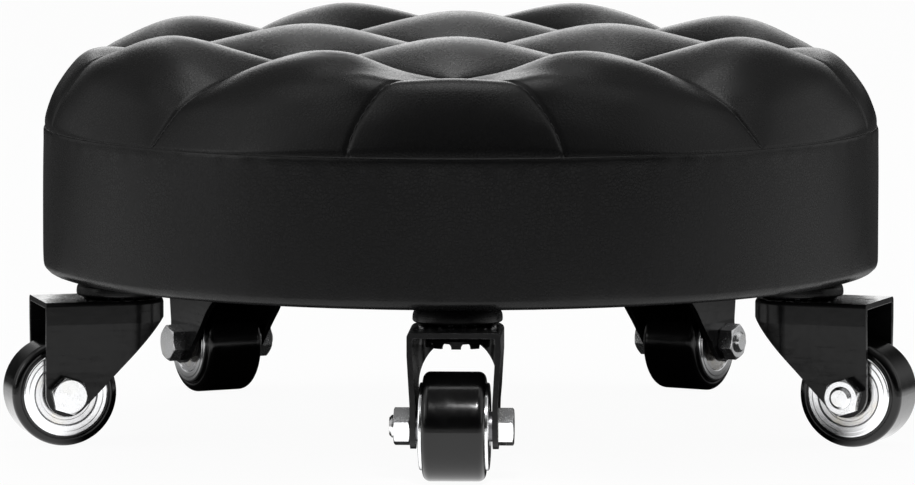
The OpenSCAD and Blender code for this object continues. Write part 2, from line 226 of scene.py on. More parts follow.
def seam_spans():
    """The sewn lines as spans between crossings, in cloth coordinates."""
    out = []
    s2 = math.sqrt(2)
    for k in (-GRID, 0.0, GRID):
        end = math.sqrt(1 - k * k)
        cuts = [-end, -GRID, 0.0, GRID, end]
        for t0, t1 in zip(cuts[:-1], cuts[1:]):
            t = np.linspace(t0, t1, 400)
            for kind in (0, 1):
                u, v = (np.full_like(t, k), t) if kind == 0 else (t, np.full_like(t, k))
                x, y = (u + v) / s2, (v - u) / s2
                cx, cy = to_cloth(x, y)
                line = np.stack([cx, cy], 1)
                seg = np.concatenate([[0], np.cumsum(np.linalg.norm(np.diff(line, axis=0), axis=1))])
                n = max(2, int(round(seg[-1] / 1.25)) + 1)
                s = np.linspace(0, seg[-1], n)
                out.append(np.stack([np.interp(s, seg, line[:, 0]), np.interp(s, seg, line[:, 1])], 1))
    return out


SPANS = seam_spans()


def quilt_mesh():
    """Cloth-plane points and triangles, with vertices along every seam."""
    seam_pts = np.concatenate(SPANS)
    tree = kdtree.KDTree(len(seam_pts))
    for i, p in enumerate(seam_pts):
        tree.insert((p[0], p[1], 0.0), i)
    tree.balance()
    pts, edges = [], []
    for line in SPANS:
        start = len(pts)
        pts.extend(map(tuple, line))
        edges.extend((start + i, start + i + 1) for i in range(len(line) - 1))
    n_rim = 720
    rim = [(CLOTH_R * math.cos(i * 2 * math.pi / n_rim), CLOTH_R * math.sin(i * 2 * math.pi / n_rim)) for i in range(n_rim)]
    start = len(pts)
    pts.extend(rim)
    edges.extend((start + i, start + (i + 1) % n_rim) for i in range(n_rim))
    placed = list(pts)

    def seam_distance(p):
        return tree.find((p[0], p[1], 0.0))[2]

    for off in (0.55, 1.15, 1.9, 2.9):
        for line in SPANS:
            t = np.gradient(line, axis=0)
            t /= np.linalg.norm(t, axis=1, keepdims=True)
            nrm = np.stack([-t[:, 1], t[:, 0]], 1)
            for sgn in (-1, 1):
                for p in line + sgn * off * nrm:
                    if seam_distance(p) > off * 0.93 and math.hypot(*p) < CLOTH_R - 0.45:
                        placed.append((float(p[0]), float(p[1])))
    for off in (0.5, 1.1, 1.9, 3.0):
        for i in range(n_rim):
            a = (i + (0.5 if off in (1.1, 3.0) else 0.0)) * 2 * math.pi / n_rim
            p = ((CLOTH_R - off) * math.cos(a), (CLOTH_R - off) * math.sin(a))
            if seam_distance(p) > 0.45:
                placed.append(p)
    step = 1.9
    rows = int(CLOTH_R / (step * 0.866)) + 1
    for j in range(-rows, rows + 1):
        y = j * step * 0.866
        for i in range(-rows - 2, rows + 3):
            x = (i + 0.5 * (j & 1)) * step
            if x * x + y * y < (CLOTH_R - 4.1) ** 2 and seam_distance((x, y)) > 3.9:
                placed.append((x, y))
    verts, _, faces, _, _, _ = delaunay_2d_cdt([Vector(p) for p in placed], edges, [], 1, 1e-4, False)
    p = np.array([tuple(v) for v in verts])
    tris = np.array([tuple(f) for f in faces if len(f) == 3])
    area = ((p[tris[:, 1], 0] - p[tris[:, 0], 0]) * (p[tris[:, 2], 1] - p[tris[:, 0], 1])
            - (p[tris[:, 1], 1] - p[tris[:, 0], 1]) * (p[tris[:, 2], 0] - p[tris[:, 0], 0]))
    tris = tris[np.abs(area) > 1e-6]
    area = area[np.abs(area) > 1e-6]
    tris[area < 0] = tris[area < 0][:, ::-1]
    used = np.unique(tris)
    index = -np.ones(len(p), int)
    index[used] = np.arange(len(used))
    p, tris = p[used], index[tris]
    sd = np.array([tree.find((q[0], q[1], 0.0))[2] for q in p])
    return p, tris, sd


cloth_p, top_tris, seam_d = quilt_mesh()
top_r, top_a = from_cloth(cloth_p)
rim_d = CLOTH_R - np.hypot(cloth_p[:, 0], cloth_p[:, 1])

# No two puffs of real foam are quite the same height.
uneven = np.array([noise.noise(Vector((q[0] / 62.0 + 3.1, q[1] / 62.0 - 1.7, 0.4))) for q in cloth_p])
start_puff = 1.02 + 0.03 * uneven
top_pts = quilt_points(top_r, top_a, start_puff, seam_d, rim_d)


def inflate(points, tris, fixed, pressure, frames, cap_mm):
    """Swells the panels between the sewn lines with a cloth simulation. Returns the new points in mm."""
    mesh = bpy.data.meshes.new("swell")
    mesh.from_pydata((points * MM).tolist(), [], [list(map(int, t)) for t in tris])
    mesh.update()
    obj = bpy.data.objects.new("swell", mesh)
    bpy.context.scene.collection.objects.link(obj)
    group = obj.vertex_groups.new(name="sewn")
    group.add([int(i) for i in np.nonzero(fixed)[0]], 1.0, "REPLACE")
    mod = obj.modifiers.new("cloth", "CLOTH")
    s = mod.settings
    s.quality = 5
    s.mass = 0.35
    s.air_damping = 2.0
    s.tension_stiffness = s.compression_stiffness = 25.0
    s.shear_stiffness = 12.0
    s.bending_stiffness = 1.0
    s.vertex_group_mass = "sewn"
    s.use_pressure = True
    s.uniform_pressure_force = pressure
    s.effector_weights.gravity = 0.0
    mod.collision_settings.use_collision = False
    mod.point_cache.frame_start, mod.point_cache.frame_end = 1, frames
    scene = bpy.context.scene
    for f in range(1, frames + 1):
        scene.frame_set(f)
    got = obj.evaluated_get(bpy.context.evaluated_depsgraph_get())
    out = np.empty(len(points) * 3)
    got.data.vertices.foreach_get("co", out)
    out = out.reshape(-1, 3) / MM
    scene.frame_set(1)
    bpy.data.objects.remove(obj)
    bpy.data.meshes.remove(mesh)
    move = out - points
    far = np.linalg.norm(move, axis=1, keepdims=True)
    return points + move * np.minimum(1.0, cap_mm / np.maximum(far, 1e-9))


pinned = (seam_d < 0.3) | (rim_d < 0.3)
top_pts = inflate(top_pts, top_tris, pinned, 3.0, 20, 5.0)


def rim_loop(tris, n):
    """Boundary vertices of the top in order."""
    seen = {}
    for t in tris:
        for k in range(3):
            e = (int(t[k]), int(t[(k + 1) % 3]))
            seen[e] = seen.get(e, 0) + 1
    nxt = {a: b for (a, b) in seen if (b, a) not in seen}
    first = min(nxt)
    loop, at = [first], nxt[first]
    while at != first:
        loop.append(at)
        at = nxt[at]
    return loop


RIM = rim_loop(top_tris, len(top_pts))
top_n = vertex_normals(top_pts, top_tris)


def shell(points, normals, tris, loop, thick):
    """A closed skin: the points, the same set in by thick, and a strip round the rim."""
    n = len(points)
    inner = points - normals * thick
    faces = [tuple(t) for t in tris]
    faces += [(t[0] + n, t[2] + n, t[1] + n) for t in tris]
    for a, b in zip(loop, loop[1:] + loop[:1]):
        faces.append((b, a, a + n, b + n))
    return np.concatenate([points, inner]), faces


cover_pts, cover_faces = shell(top_pts, top_n, top_tris, RIM, COVER_T)
cover = new_object("quilted_cover", cover_pts, cover_faces)

# ---------------------------------------------------------------- foam


def foam_piece():
    """Foam under the cover, with the rebate that the board sits in."""
    n = len(top_pts)
    skin = top_pts - top_n * (COVER_T + 0.25)
    loop = RIM
    ang = np.array([math.atan2(top_pts[i, 1], top_pts[i, 0]) for i in loop])
    rings = [
        (R - COVER_T - 0.3, SEAM_Z - 1.5), (R - COVER_T - 0.3, 96.0), (R - COVER_T - 0.3, 80.0),
        (R - COVER_T - 0.3, 66.0), (R - 1.9, 62.6), (R - 3.5, 61.3), (R - 5.0, BOARD_Z + 0.2),
        (BOARD_R + 0.1, BOARD_Z + 0.3), (BOARD_R + 0.1, BOARD_TOP), (120.0, BOARD_TOP), (80.0, BOARD_TOP), (40.0, BOARD_TOP),
    ]
    pts = [skin]
    faces = [tuple(t) for t in top_tris]
    m = len(loop)
    previous = list(loop)
    base = n
    for rr, zz in rings:
        pts.append(np.stack([rr * np.cos(ang), rr * np.sin(ang), np.full(m, zz)], 1))
        now = list(range(base, base + m))
        for i in range(m):
            j = (i + 1) % m
            faces.append((previous[i], now[i], now[j], previous[j]))
        previous, base = now, base + m
    pts.append(np.array([[0.0, 0.0, BOARD_TOP]]))
    for i in range(m):
        faces.append((previous[i], base, previous[(i + 1) % m]))
    return np.concatenate(pts), faces


foam_pts, foam_faces = foam_piece()
foam = new_object("foam_core", foam_pts, foam_faces)

# ---------------------------------------------------------------- side band


def gathers(a, seed, n):
    """Irregular folds round the hem, from 0 to 1."""
    out = np.zeros_like(a)
    rng = np.random.default_rng(seed)
    at = (np.arange(n) + rng.uniform(-0.3, 0.3, n)) * 2 * math.pi / n
    wide = rng.uniform(0.45, 0.9, n) * math.pi / n
    tall = rng.uniform(0.4, 1.0, n)
    for c, w, t in zip(at, wide, tall):
        d = (a - c + math.pi) % (2 * math.pi) - math.pi
        out = np.maximum(out, t * np.clip(1 - np.abs(d) / w, 0, 1) ** 1.3)
    return out


def band_piece():
    e = 3.5
    mid = (SEAM_Z + UNDER_Z) / 2

    def out(z):
        # the band leans in a little towards the sewn seam
        return R - 0.30 * (max(0.0, z - mid) / 26.0) ** 2

    prof = [(R - 0.80, SEAM_Z), (R - 0.60, SEAM_Z - 0.25), (R - 0.40, SEAM_Z - 0.7), (out(SEAM_Z - 1.5), SEAM_Z - 1.5)]
    prof += [(out(z), z) for z in np.linspace(SEAM_Z - 3.5, UNDER_Z + e, 26)]
    prof += [(R - e + e * math.cos(t), UNDER_Z + e - e * math.sin(t)) for t in np.linspace(0.15, math.pi / 2, 8)]
    hem = np.concatenate([np.linspace(R - e - 1.2, 112.5, 26), [111.0, 109.4, 107.8, 106.4, 105.7]])
    prof += [(r, UNDER_Z) for r in hem]
    prof += [(105.6, UNDER_Z + 0.3), (105.7, UNDER_Z + 0.6), (112.2, UNDER_Z + 0.6), (112.2, UNDER_Z + 1.2)]
    prof += [(r, UNDER_Z + 1.2) for r in np.linspace(116.0, R - e, 8)]
    prof += [(R - e + (e - 1.2) * math.sin(t), UNDER_Z + e - (e - 1.2) * math.cos(t)) for t in np.linspace(0.3, math.pi / 2, 5)]
    prof += [(R - 1.2, z) for z in np.linspace(68.0, SEAM_Z - 0.6, 8)]
    prof += [(R - 1.35, SEAM_Z)]
    n_out = 4 + 26 + 8

    def shape(rr, zz, a):
        folds = gathers(a, 11, 58)
        index = np.repeat(np.arange(rr.shape[1])[None, :], rr.shape[0], 0)
        under = (zz < UNDER_Z + 0.01) & (index >= n_out)
        lift = smoothstep((rr - 110.5) / 9.0) * smoothstep((R - 3.0 - rr) / 6.0)
        zz = np.where(under, zz - 0.62 * folds * lift - 0.05 * folds, zz)
        # the fold lines run on round the lower edge and fade out on the side
        low_edge = np.clip(1 - (zz - UNDER_Z) / 9.0, 0, 1) ** 2 * (index < n_out) * (index >= 10)
        rr = rr - 0.28 * (1 - folds) * low_edge * smoothstep((zz - UNDER_Z) / 1.5 + 0.25)
        # pull of the sewn seam, a slow unevenness, and the join at the back
        side = (index < 4 + 26)
        d = (a - math.pi / 2 + math.pi) % (2 * math.pi) - math.pi
        arc_mm = np.abs(d) * R
        groove = np.exp(-(arc_mm / 0.9) ** 2) * 0.8 - np.exp(-((arc_mm - 3.0) / 2.2) ** 2) * 0.12
        wave = 0.10 * np.sin(7 * a + 0.6) * np.sin(zz * 0.06) + 0.07 * np.sin(13 * a + 2.1 + zz * 0.05)
        tuck = 0.10 * np.exp(-((SEAM_Z - 2.2 - zz) / 2.0) ** 2) * np.sin(a * R / 1.9)
        rr = np.where(side, rr - groove * smoothstep((zz - UNDER_Z) / 3.0) + wave * np.clip((SEAM_Z - zz) / 6, 0, 1) * np.clip((zz - UNDER_Z) / 8, 0, 1) + tuck, rr)
        return rr, zz

    return revolve(prof, 1020, True, shape)


band_pts, band_faces = band_piece()
band = new_object("boxing_band", band_pts, band_faces)

# ---------------------------------------------------------------- thread


def stitch_mesh(a, b, up, radius, pts, faces, sides=6, rings=5):
    """One stitch of thread from a to b, dipping into the cloth at both ends."""
    along = b - a
    length = np.linalg.norm(along)
    along = along / length
    side = np.cross(up, along)
    side /= max(np.linalg.norm(side), 1e-9)
    over = np.cross(along, side)
    start = len(pts)
    for k in range(rings):
        t = k / (rings - 1)
        c = a + along * length * t + over * (radius * 0.9 * math.sin(math.pi * t) - radius * 0.55)
        rad = radius * (0.55 + 0.45 * math.sin(math.pi * min(max(t, 0.12), 0.88)))
        for s in range(sides):
            w = 2 * math.pi * s / sides
            pts.append(c + side * rad * math.cos(w) + over * rad * math.sin(w))
    for k in range(rings - 1):
        for s in range(sides):
            s2 = (s + 1) % sides
            faces.append((start + k * sides + s, start + (k + 1) * sides + s, start + (k + 1) * sides + s2, start + k * sides + s2))
    faces.append(tuple(start + s for s in range(sides)))
    faces.append(tuple(start + (rings - 1) * sides + s for s in reversed(range(sides))))


def quilt_thread():
    pts, faces = [], []
    for line in SPANS:
        seg = np.concatenate([[0], np.cumsum(np.linalg.norm(np.diff(line, axis=0), axis=1))])
        pitch = 3.9
        count = int(seg[-1] / pitch)
        s0 = (seg[-1] - count * pitch) / 2
        for i in range(count):
            s = np.array([s0 + i * pitch + 0.45, s0 + (i + 1) * pitch - 0.45, s0 + (i + 0.5) * pitch])
            q = np.stack([np.interp(s, seg, line[:, 0]), np.interp(s, seg, line[:, 1])], 1)
            rim = CLOTH_R - np.hypot(q[:, 0], q[:, 1])
            if rim.min() < 1.5:
                continue
            r, a = from_cloth(q)
            p = quilt_points(r, a, 1.0, np.zeros(3), rim)
            p2 = quilt_points(np.minimum(r + 0.004, 1), a, 1.0, np.zeros(3), rim)
            out = p2[2] - p[2]
            out /= np.linalg.norm(out)
            around = np.array([-math.sin(a[2] + GRID_TURN), math.cos(a[2] + GRID_TURN), 0.0])
            up = np.cross(out, around)
            up = up if up[2] > 0 or np.dot(up[:2], p[2][:2]) > 0 else -up
            stitch_mesh(p[0] + up * 0.08, p[1] + up * 0.08, up, 0.22, pts, faces)
    return np.array(pts), faces


thread_pts, thread_faces = quilt_thread()
thread = new_object("quilting_thread", thread_pts, thread_faces)

# ---------------------------------------------------------------- dust cloth


def dust_cloth_piece():
    rings = [0.0] + list(np.linspace(4.0, 102.0, 34)) + [103.4, 104.4, 105.2, 106.0, 107.0, 109.0, 111.8]
    n = 240
    pts, faces = [], []

    def level(r, a, x, y):
        sag = 0.28 * noise.noise(Vector((x / 34.0, y / 34.0, 7.3))) + 0.10 * noise.noise(Vector((x / 11.0, y / 11.0, 2.2)))
        pull = 0.16 * math.sin(40 * (a + math.pi / 40 * 0)) * max(0.0, (r - 70.0) / 34.0) ** 2
        flat = (sag + pull) * (1.0 if r < 96 else max(0.0, (104.6 - r) / 8.6))
        rise = 0.65 * float(smoothstep(np.array((r - 104.2) / 2.0)))
        return UNDER_Z + flat + rise

    for side in (0, 1):
        for k, r in enumerate(rings):
            if k == 0:
                pts.append((0.0, 0.0, level(0, 0, 0, 0) + 0.5 * side))
                continue
            for i in range(n):
                a = i * 2 * math.pi / n
                x, y = r * math.cos(a), r * math.sin(a)
                pts.append((x, y, level(r, a, x, y) + 0.5 * side))
    per = 1 + n * (len(rings) - 1)

    def at(side, k, i):
        return side * per + (0 if k == 0 else 1 + (k - 1) * n + i % n)

    for side in (0, 1):
        for i in range(n):
            tri = (at(side, 0, 0), at(side, 1, i), at(side, 1, i + 1))
            faces.append(tri if side else tri[::-1])
            for k in range(1, len(rings) - 1):
                quad = (at(side, k, i), at(side, k + 1, i), at(side, k + 1, i + 1), at(side, k, i + 1))
                faces.append(quad if side else quad[::-1])
    k = len(rings) - 1
    for i in range(n):
        faces.append((at(0, k, i), at(0, k, i + 1), at(1, k, i + 1), at(1, k, i)))
    return np.array(pts), faces


dust_pts, dust_faces = dust_cloth_piece()
dust = new_object("dust_cover", dust_pts, dust_faces)

# ---------------------------------------------------------------- materials


class Nodes:
    """A material under construction."""

    def __init__(self, name):
        self.mat = bpy.data.materials.new(name)
        self.mat.use_nodes = True
        self.tree = self.mat.node_tree
        self.shader = next(n for n in self.tree.nodes if n.type == "BSDF_PRINCIPLED")
        self.coord = self.tree.nodes.new("ShaderNodeTexCoord").outputs["Object"]

    def set(self, **values):
        for name, value in values.items():
            self.shader.inputs[name.replace("_", " ")].default_value = value
        return self

    def link(self, out, name):
        self.tree.links.new(out, self.shader.inputs[name])

    def add(self, kind, props=(), **inputs):
        node = self.tree.nodes.new(kind)
        for k, v in dict(props).items():
            setattr(node, k, v)
        for k, v in inputs.items():
            socket = node.inputs[int(k[1:])] if k[0] == "i" and k[1:].isdigit() else node.inputs[k.replace("_", " ")]
            if isinstance(v, bpy.types.NodeSocket):
                self.tree.links.new(v, socket)
            else:
                socket.default_value = v
        return node

    def noise(self, scale, detail=2.0, rough=0.5, vector=None, distortion=0.0):
        n = self.add("ShaderNodeTexNoise", Vector=vector or self.coord, Scale=scale, Detail=detail, Roughness=rough, Distortion=distortion)
        return n.outputs[0]

    def voronoi(self, scale, feature="F1", vector=None, out="Distance", randomness=1.0):
        n = self.add("ShaderNodeTexVoronoi", {"feature": feature}, Vector=vector or self.coord, Scale=scale, Randomness=randomness)
        return n.outputs[out]

    def remap(self, value, a, b, c, d, smooth=False):
        n = self.add("ShaderNodeMapRange", {"interpolation_type": "SMOOTHSTEP" if smooth else "LINEAR"})
        self.tree.links.new(value, n.inputs["Value"])
        for k, v in (("From Min", a), ("From Max", b), ("To Min", c), ("To Max", d)):
            n.inputs[k].default_value = v
        return n.outputs[0]

    def math(self, op, a, b=0.0, c=0.0):
        return self.add("ShaderNodeMath", {"operation": op}, i0=a, i1=b, i2=c).outputs[0]

    def mix(self, factor, a, b):
        n = self.add("ShaderNodeMix", {"data_type": "RGBA"})
        for k, v in ((0, factor), (6, a), (7, b)):
            if isinstance(v, bpy.types.NodeSocket):
                self.tree.links.new(v, n.inputs[k])
            else:
                n.inputs[k].default_value = v if k == 0 else (*v, 1.0)
        return n.outputs[2]

    def warp(self, scale, amount):
        n = self.add("ShaderNodeTexNoise", Vector=self.coord, Scale=scale, Detail=2.0)
        centred = self.add("ShaderNodeVectorMath", {"operation": "SUBTRACT"}, i0=n.outputs["Color"], i1=(0.5, 0.5, 0.5)).outputs[0]
        scaled = self.add("ShaderNodeVectorMath", {"operation": "SCALE"}, i0=centred, Scale=amount).outputs[0]
        return self.add("ShaderNodeVectorMath", {"operation": "ADD"}, i0=self.coord, i1=scaled).outputs[0]

    def bump(self, height, strength, distance, normal=None):
        n = self.add("ShaderNodeBump", Height=height, Strength=strength, Distance=distance)
        if normal is not None:
            self.tree.links.new(normal, n.inputs["Normal"])
        return n.outputs[0]

    def bevel(self, radius):
        return self.add("ShaderNodeBevel", {"samples": 4}, Radius=radius).outputs[0]

    def edge_mask(self, radius, lo=0.02, hi=0.25):
        """1 on edges, from the angle between the rounded and the true normal."""
        true = self.tree.nodes.new("ShaderNodeNewGeometry").outputs["Normal"]
        dot = self.add("ShaderNodeVectorMath", {"operation": "DOT_PRODUCT"}, i0=self.bevel(radius), i1=true).outputs["Value"]
        return self.remap(self.math("SUBTRACT", 1.0, dot), lo, hi, 0.0, 1.0, True)

    def mapped(self, location=(0, 0, 0), rotation=(0, 0, 0), scale=(1, 1, 1), vector=None):
        return self.add("ShaderNodeMapping", Vector=vector or self.coord, Location=location, Rotation=rotation, Scale=scale).outputs[0]


def vinyl(name, base=0.0046, grain=760.0, bump=0.19):
    m = Nodes(name)
    v = m.warp(420.0, 0.0011)
    edge = m.voronoi(grain, "DISTANCE_TO_EDGE", v)
    cell = m.voronoi(grain, "F1", v, "Color")
    pebble = m.remap(edge, 0.0, 0.22, 0.0, 1.0, True)
    fine = m.noise(5200.0, 2.0)
    height = m.math("ADD", m.math("MULTIPLY", pebble, 0.85), m.math("MULTIPLY", fine, 0.22))
    height = m.math("ADD", height, m.math("MULTIPLY", cell, 0.14))
    m.link(m.bump(height, bump, 0.00010), "Normal")
    broad = m.noise(14.0, 3.0, 0.55)
    patch = m.noise(75.0, 2.0)
    tone = m.math("MULTIPLY", m.remap(broad, 0.3, 0.7, 0.82, 1.2), m.remap(pebble, 0.0, 1.0, 0.66, 1.06))
    dark = (base * 0.55, base * 0.55, base * 0.57)
    light = (base * 1.9, base * 1.9, base * 1.95)
    m.link(m.mix(m.remap(tone, 0.5, 1.35, 0.0, 1.0), dark, light), "Base Color")
    rough = m.math("ADD", m.remap(patch, 0.3, 0.7, 0.235, 0.29), m.remap(pebble, 0.0, 1.0, 0.08, 0.0))
    m.link(rough, "Roughness")
    m.set(Specular_IOR_Level=0.22)
    return m.mat


def foam_material():
    m = Nodes("polyurethane_foam")
    pore = m.voronoi(700.0, "F1", m.warp(300.0, 0.002))
    edge = m.remap(pore, 0.1, 0.6, 0.0, 1.0, True)
    m.link(m.mix(m.remap(m.noise(30.0, 3.0), 0.3, 0.7, 0.0, 1.0), (0.66, 0.55, 0.30), (0.78, 0.68, 0.42)), "Base Color")
    m.link(m.remap(edge, 0.0, 1.0, 0.95, 0.8), "Roughness")
    m.link(m.bump(edge, 0.8, 0.0004), "Normal")
    m.set(Subsurface_Weight=0.1, Subsurface_Scale=0.003, Specular_IOR_Level=0.2)
    return m.mat


def plywood_material():
    m = Nodes("birch_plywood")
    z = m.add("ShaderNodeSeparateXYZ", Vector=m.coord).outputs["Z"]
    ply = m.math("FLOOR", m.math("MULTIPLY", z, 590.0))
    even = m.math("MODULO", ply, 2.0)
    along = m.noise(1.0, 4.0, 0.6, m.mapped(scale=(14.0, 420.0, 900.0)), 0.6)
    across = m.noise(1.0, 4.0, 0.6, m.mapped(scale=(420.0, 14.0, 900.0)), 0.6)
    grain = m.math("ADD", m.math("MULTIPLY", along, m.math("SUBTRACT", 1.0, even)), m.math("MULTIPLY", across, even))
    glue = m.remap(m.math("FRACT", m.math("MULTIPLY", z, 590.0)), 0.0, 0.12, 0.35, 0.0)
    tone = m.mix(m.remap(grain, 0.3, 0.7, 0.0, 1.0), (0.50, 0.33, 0.17), (0.72, 0.54, 0.33))
    m.link(m.mix(glue, tone, (0.12, 0.06, 0.03)), "Base Color")
    m.link(m.remap(grain, 0.2, 0.8, 0.7, 0.5), "Roughness")
    m.link(m.bump(grain, 0.35, 0.0003), "Normal")
    return m.mat


def felt_material():
    """Spun-bonded dust cloth: random fibres pressed in a fine dot pattern."""
    m = Nodes("spun_bonded_cloth")
    one = m.noise(1.0, 3.0, 0.6, m.mapped(scale=(260.0, 3200.0, 900.0), rotation=(0, 0, 0.5)), 1.5)
    two = m.noise(1.0, 3.0, 0.6, m.mapped(scale=(3000.0, 300.0, 900.0), rotation=(0, 0, -0.3)), 1.5)
    fibre = m.math("MAXIMUM", one, two)
    dots = m.voronoi(620.0, "F1", m.mapped(rotation=(0, 0, 0.785)), randomness=0.0)
    press = m.remap(dots, 0.22, 0.34, 0.0, 1.0, True)
    height = m.math("ADD", m.math("MULTIPLY", press, 0.8), m.math("MULTIPLY", fibre, 0.9))
    m.link(m.bump(height, 0.7, 0.00015), "Normal")
    cloud = m.noise(42.0, 4.0, 0.6)
    shade = m.math("MULTIPLY", m.remap(cloud, 0.25, 0.75, 0.6, 1.25), m.remap(fibre, 0.3, 0.75, 0.55, 1.3))
    m.link(m.mix(m.remap(shade, 0.3, 1.5, 0.0, 1.0), (0.008, 0.008, 0.009), (0.045, 0.045, 0.048)), "Base Color")
    m.link(m.remap(press, 0.0, 1.0, 0.62, 0.92), "Roughness")
    m.set(Specular_IOR_Level=0.3, Sheen_Weight=0.12, Sheen_Roughness=0.6)
    return m.mat


def thread_material():
    m = Nodes("bonded_thread")
    ply = m.noise(1.0, 2.0, 0.5, m.mapped(scale=(2600.0, 2600.0, 900.0)), 0.8)
    m.link(m.mix(m.remap(ply, 0.3, 0.7, 0.0, 1.0), (0.005, 0.005, 0.006), (0.018, 0.018, 0.019)), "Base Color")
    m.link(m.remap(ply, 0.3, 0.7, 0.42, 0.6), "Roughness")
    m.link(m.bump(ply, 0.5, 0.00006), "Normal")
    m.set(Sheen_Weight=0.15, Sheen_Roughness=0.4)
    return m.mat


def enamel(name, base=0.0040, rough=0.17, radius=0.0004, wear=1.0):
    """Gloss black stoving enamel on pressed steel, with slight orange peel and rubbed edges."""
    m = Nodes(name)
    peel = m.noise(420.0, 2.0, 0.45)
    speck = m.voronoi(900.0, "F1")
    mask = m.edge_mask(radius * 1.4, 0.03, 0.35)
    rub = m.math("MULTIPLY", mask, m.remap(m.noise(260.0, 3.0, 0.6), 0.42, 0.68, 0.0, 0.75 * wear, True))
    tone = m.remap(m.noise(60.0, 3.0), 0.3, 0.7, 0.0, 1.0)
    colour = m.mix(tone, (base * 0.8, base * 0.8, base * 0.85), (base * 1.5, base * 1.5, base * 1.55))
    m.link(m.mix(rub, colour, (0.11, 0.11, 0.115)), "Base Color")
    scuff = m.remap(m.noise(1.0, 3.0, 0.6, m.mapped(scale=(90.0, 90.0, 900.0))), 0.45, 0.75, 0.0, 0.10, True)
    r = m.math("ADD", m.remap(peel, 0.3, 0.7, rough * 0.85, rough * 1.25), m.math("ADD", scuff, m.math("MULTIPLY", rub, 0.25)))
    m.link(r, "Roughness")
    dust_spots = m.remap(speck, 0.0, 0.09, 1.0, 0.0, True)
    height = m.math("ADD", peel, m.math("MULTIPLY", dust_spots, 0.25))
    m.link(m.bump(height, 0.25, 0.00012, m.bevel(radius)), "Normal")
    m.set(Specular_IOR_Level=0.22)
    return m.mat


def metal(name, colour, rough, radius=0.00025, spangle=0.12, marks=None, tint=None, wear=0.0):
    """Plated or ground steel. marks gives fine lines: a vector output scaled so that its x runs across them."""
    m = Nodes(name)
    cloud = m.noise(240.0, 3.0, 0.6)
    spark = m.voronoi(520.0, "F1", out="Color")
    both = m.math("ADD", m.math("MULTIPLY", cloud, 0.7), m.math("MULTIPLY", spark, 0.3))
    lo = tuple(c * (1 - spangle * 1.6) for c in colour)
    hi = tuple(min(1.0, c * (1 + spangle)) for c in colour)
    base = m.mix(m.remap(both, 0.3, 0.7, 0.0, 1.0), lo, hi)
    if tint:
        base = m.mix(m.remap(m.noise(90.0, 3.0, 0.6), 0.48, 0.72, 0.0, 0.55, True), base, tint)
    if wear:
        base = m.mix(m.math("MULTIPLY", m.edge_mask(radius * 2.0), wear), base, (0.9, 0.9, 0.91))
    m.link(base, "Base Color")
    fine = m.noise(2600.0, 2.0)
    lines = m.noise(1.0, 2.0, 0.7, marks(m)) if marks else fine
    m.link(m.math("ADD", m.remap(both, 0.3, 0.7, rough * 0.8, rough * 1.2), m.remap(lines, 0.3, 0.7, -0.03, 0.06)), "Roughness")
    height = m.math("ADD", m.math("MULTIPLY", fine, 0.3), lines)
    m.link(m.bump(height, 0.18, 0.00005, m.bevel(radius)), "Normal")
    m.set(Metallic=1.0)
    return m.mat


def around_axle(i, ring=6200.0, turn=3.0):
    """Texture coordinates of a turned part: the radius from the axle in x."""
    c = WHEELS[i]

    def make(m):
        v = m.mapped(vector=m.add("ShaderNodeVectorMath", {"operation": "SUBTRACT"}, i0=m.coord, i1=c["centre"]).outputs[0], rotation=(0, 0, -c["angle"]))
        s = m.add("ShaderNodeSeparateXYZ", Vector=v)
        rad = m.math("SQRT", m.math("ADD", m.math("POWER", s.outputs["X"], 2.0), m.math("POWER", s.outputs["Z"], 2.0)))
        return m.add("ShaderNodeCombineXYZ", X=m.math("MULTIPLY", rad, ring), Y=m.math("MULTIPLY", s.outputs["Y"], ring * 0.6),
                     Z=m.math("MULTIPLY", m.math("ARCTAN2", s.outputs["Z"], s.outputs["X"]), turn)).outputs[0]

    return make


def tyre_material(i):
    """Moulded black polyurethane: glossy, with a turned tread and light scuffs."""
    m = Nodes("polyurethane_" + CASTERS[i])
    v = around_axle(i, 1500.0, 2.0)(m)
    turned = m.noise(1.0, 2.0, 0.6, v)
    s = m.add("ShaderNodeSeparateXYZ", Vector=v)
    tread = m.remap(s.outputs["X"], 1500.0 * 0.0180, 1500.0 * 0.0189, 0.0, 1.0, True)
    scuff = m.remap(m.noise(210.0, 4.0, 0.65), 0.40, 0.70, 0.0, 1.0, True)
    dusty = m.math("MULTIPLY", tread, m.remap(m.noise(65.0, 3.0), 0.35, 0.7, 0.15, 0.8))
    base = m.mix(m.remap(m.noise(45.0, 3.0), 0.3, 0.7, 0.0, 1.0), (0.0007, 0.0007, 0.0008), (0.0018, 0.0018, 0.0019))
    m.link(m.mix(m.math("MULTIPLY", dusty, 0.14), base, (0.011, 0.0107, 0.0105)), "Base Color")
    r = m.math("ADD", m.remap(scuff, 0.0, 1.0, 0.12, 0.18), m.math("MULTIPLY", dusty, 0.05))
    m.link(r, "Roughness")
    height = m.math("ADD", m.math("MULTIPLY", turned, 0.6), m.math("MULTIPLY", scuff, 0.3))
    m.link(m.bump(height, 0.22, 0.00007, m.bevel(0.0003)), "Normal")
    m.set(Specular_IOR_Level=0.42)
    return m.mat


# Centre and heading of each wheel, from its own tyre and its fork's swivel.
WHEELS = []
for name in CASTERS:
    lo_, hi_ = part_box("tyre_" + name)
    centre = (lo_ + hi_) / 2
    lo_, hi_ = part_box("axle_spacers_" + name)
    # The swivel axis is the middle of the caster's stem, which lies on a ring.
    WHEELS.append({"centre": tuple(centre), "angle": 0.0})
RING_TURN, RING = math.radians(-0.5), 0.1284
for i, place in enumerate((270, 198, 342, 130.8, 54)):
    a = math.radians(place) + RING_TURN
    stem = (AX + RING * math.cos(a), AY + RING * math.sin(a))
    c = WHEELS[i]["centre"]
    WHEELS[i]["angle"] = math.atan2(c[1] - stem[1], c[0] - stem[0])

